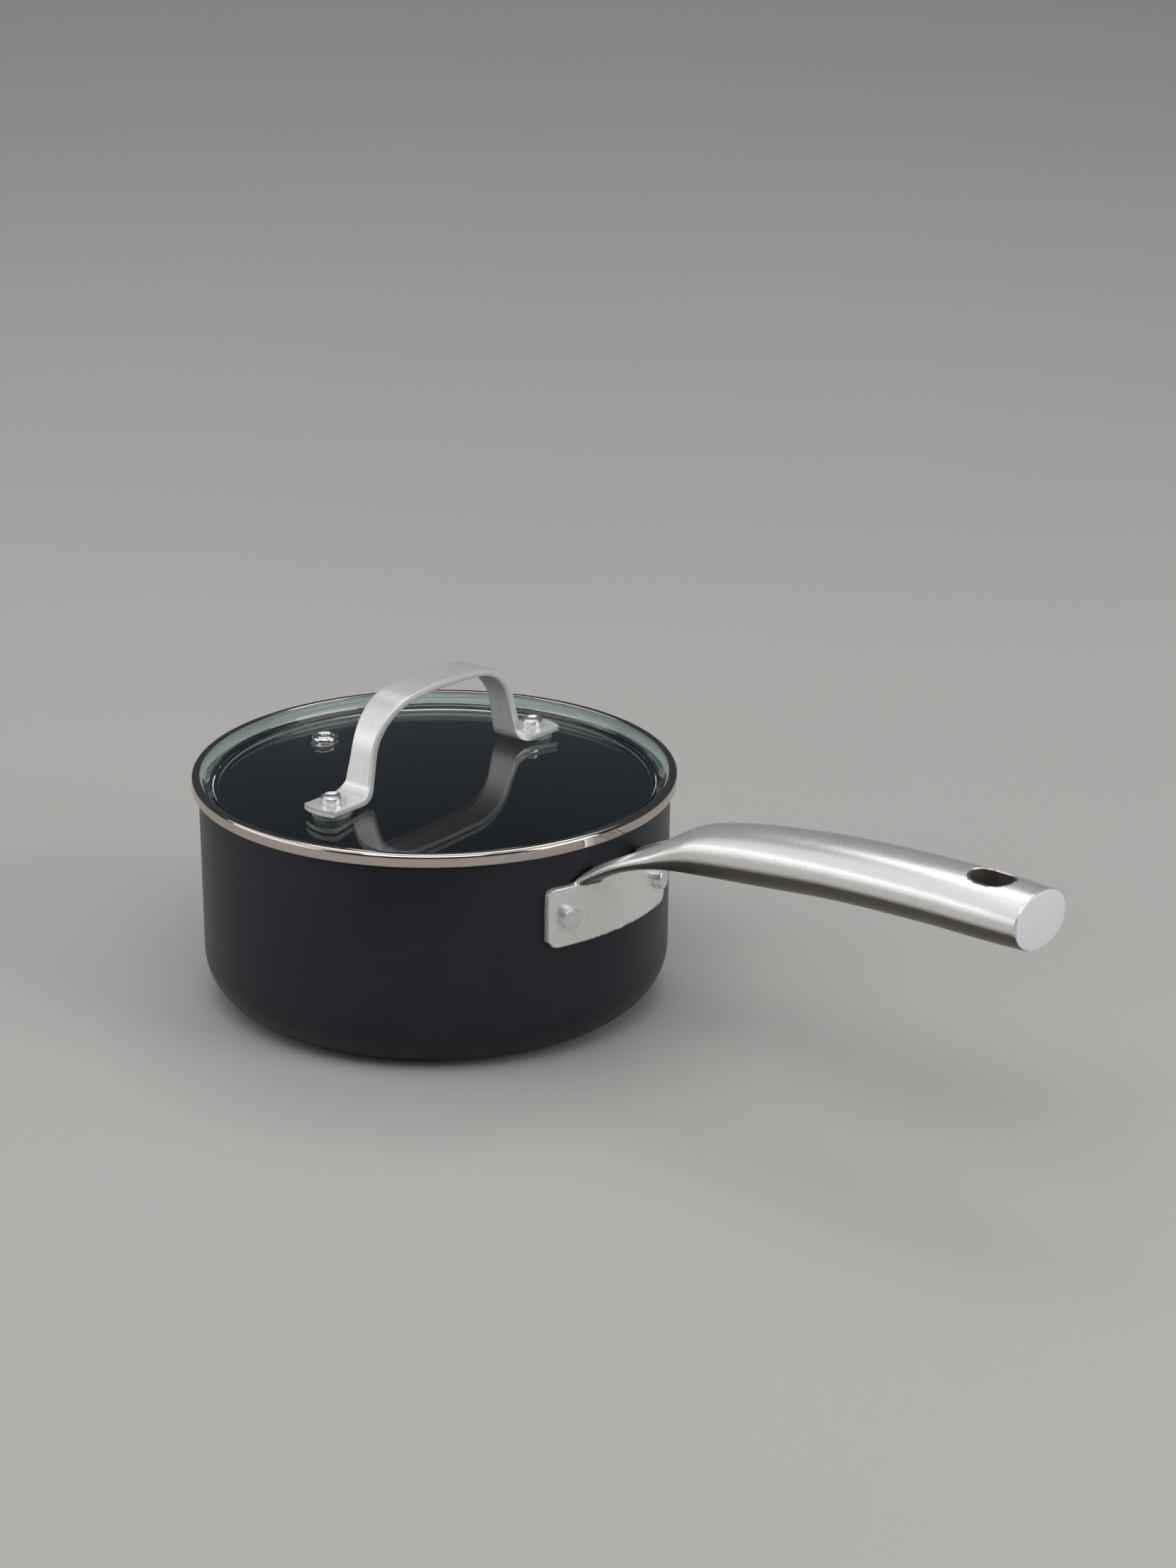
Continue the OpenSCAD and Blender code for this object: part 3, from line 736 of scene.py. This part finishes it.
def make_lid_rivet(side, word):
    """Rivet with its spacer, grommet and washer, all on one axis."""
    shank, head, tail = 2.4 * MM, 3.8 * MM, 4 * MM
    grommet_r, eased_r, washer_r = 6.4 * MM, 6.1 * MM, 5.6 * MM
    grommet_low = dome_z(RIVET_Y) - GLASS - 1.6 * MM
    washer_low = grommet_low - 0.8 * MM
    centre = (0, side * RIVET_Y)
    outline = [(0, RIVET_LOW)] + arc((tail - 0.4 * MM, RIVET_LOW + 0.4 * MM), 0.4 * MM, -90, 0, 5)
    outline += [(tail, washer_low), (shank, washer_low), (shank, FOOT_TOP), (head - 0.1 * MM, FOOT_TOP)]
    outline += [(head, FOOT_TOP + 0.2 * MM), (head, RIVET_TOP - 0.75 * MM)]
    outline += [(head - 0.7 * MM, RIVET_TOP - 0.05 * MM)]
    outline += arc((head - 1.1 * MM, RIVET_TOP - 0.35 * MM), 0.35 * MM, 60, 150, 5)
    outline += [(head - 1.7 * MM, RIVET_TOP - 0.4 * MM), (1.0 * MM, RIVET_TOP - 0.55 * MM)]
    outline += [(0, RIVET_TOP - 0.6 * MM)]
    place(lathe(f"lid_rivet_{word}_head", outline, 64, centre), "lid", [f"lid_rivet_{word}"], "rivets", RIVET)
    top, outer = spacer_high.z, FOOT_W / 2
    ring = [(shank, top - 2 * MM), (outer, top - 2 * MM), (outer, top - 0.5 * MM)]
    ring += arc((outer - 0.3 * MM, top - 0.3 * MM), 0.3 * MM, 0, 90, 3) + [(shank, top)]
    spacer = on_dome(ring, 64, centre)
    spacer.name = f"strap_spacer_{word}_ring"
    place(spacer, "lid", [f"strap_spacer_{word}"], "spacers", SPACER)
    flange = [(shank, grommet_low), (eased_r, grommet_low), (grommet_r, grommet_low + 0.3 * MM)]
    flange += [(grommet_r, grommet_low + 2.4 * MM), (shank, grommet_low + 2.4 * MM)]
    grommet = on_dome(flange, 64, centre, below=True)
    grommet.name = f"lid_grommet_{word}_sleeve"
    place(grommet, "lid", [f"lid_grommet_{word}"], "grommets", GROMMET)
    outline = ring_outline(washer_low, grommet_low, washer_r, shank)
    washer = lathe(f"rivet_washer_{word}_ring", outline, 64, centre)
    place(washer, "lid", [f"rivet_washer_{word}"], "washers", WASHER)


make_strap()
make_lid_rivet(-1, "left")
make_lid_rivet(1, "right")

# ---------------------------------------------------------------- floor, light and camera

CAMERA_TURN = math.radians(40.26)


def make_floor():
    """Plain pale ground under the pan, far larger than the view."""
    half = 6.0
    corners = [(-half, -half, 0), (half, -half, 0), (half, half, 0), (-half, half, 0)]
    mesh = bpy.data.meshes.new("floor")
    mesh.from_pydata(corners, [], [(0, 1, 2, 3)])
    floor = bpy.data.objects.new("floor", mesh)
    bpy.context.scene.collection.objects.link(floor)
    n = Nodes("pale_paper")
    cloud = n.noise((3, 3, 3), 2.0)
    n.link(n.mix(n.remap(cloud, 0, 1), (0.545, 0.527, 0.5), (0.56, 0.54, 0.515)), n.shader.inputs["Base Color"])
    n.set(Roughness=0.9, Specular_IOR_Level=0.2)
    mesh.materials.append(n.material)


def soft_light(name, spot, target, width, height, power):
    """Rectangular area light at spot, aimed at target, with its power in watts."""
    data = bpy.data.lights.new(name, "AREA")
    data.shape = "RECTANGLE"
    data.size, data.size_y = width, height
    data.energy = power
    light = bpy.data.objects.new(name, data)
    bpy.context.scene.collection.objects.link(light)
    light.location = spot
    light.rotation_euler = (Vector(target) - Vector(spot)).to_track_quat("-Z", "Y").to_euler()


def seen(x, y, z):
    """A place given as metres right of, beyond and above the pan, as the camera faces it."""
    return Matrix.Rotation(CAMERA_TURN, 4, "Z") @ Vector((x, y, z))


def make_camera():
    """Camera at the photograph's view of the pan."""
    data = bpy.data.cameras.new("camera")
    data.lens, data.sensor_width = 97.65, 36.0
    data.clip_start, data.clip_end = 0.01, 50
    camera = bpy.data.objects.new("camera", data)
    bpy.context.scene.collection.objects.link(camera)
    spot = seen(0.05362, -1.39723, 0.59285)
    pitch, roll = math.radians(90 - 20.309), math.radians(0.096)
    camera.matrix_world = (Matrix.Translation(spot) @ Matrix.Rotation(CAMERA_TURN, 4, "Z")
                           @ Matrix.Rotation(pitch, 4, "X") @ Matrix.Rotation(roll, 4, "Z"))
    bpy.context.scene.camera = camera


def make_world():
    world = bpy.data.worlds.new("studio")
    world.use_nodes = True
    background = world.node_tree.nodes["Background"]
    background.inputs["Color"].default_value = (0.092, 0.105, 0.128, 1)
    background.inputs["Strength"].default_value = 0.6
    bpy.context.scene.world = world


make_floor()
make_camera()
make_world()
soft_light("overhead", seen(0.3, 0.0, 1.7), seen(0, 0, 0), 2.0, 1.9, 8)
soft_light("key", seen(-1.15, -0.1, 1.25), seen(0, 0, 0.05), 1.6, 2.0, 8)
soft_light("front", seen(-0.1, -1.3, 1.9), seen(0, 0, 0.05), 1.8, 0.8, 10)
soft_light("left", seen(-1.6, -0.4, 0.45), seen(0, 0, 0.08), 1.6, 0.8, 4)
soft_light("right", seen(1.5, -0.7, 0.7), seen(0.1, 0, 0.05), 1.0, 1.1, 10)
soft_light("backdrop", seen(0, 2.3, 3.3), seen(0, 2.7, 0), 2.4, 1.6, 27)
bpy.context.scene.view_settings.view_transform = "Standard"
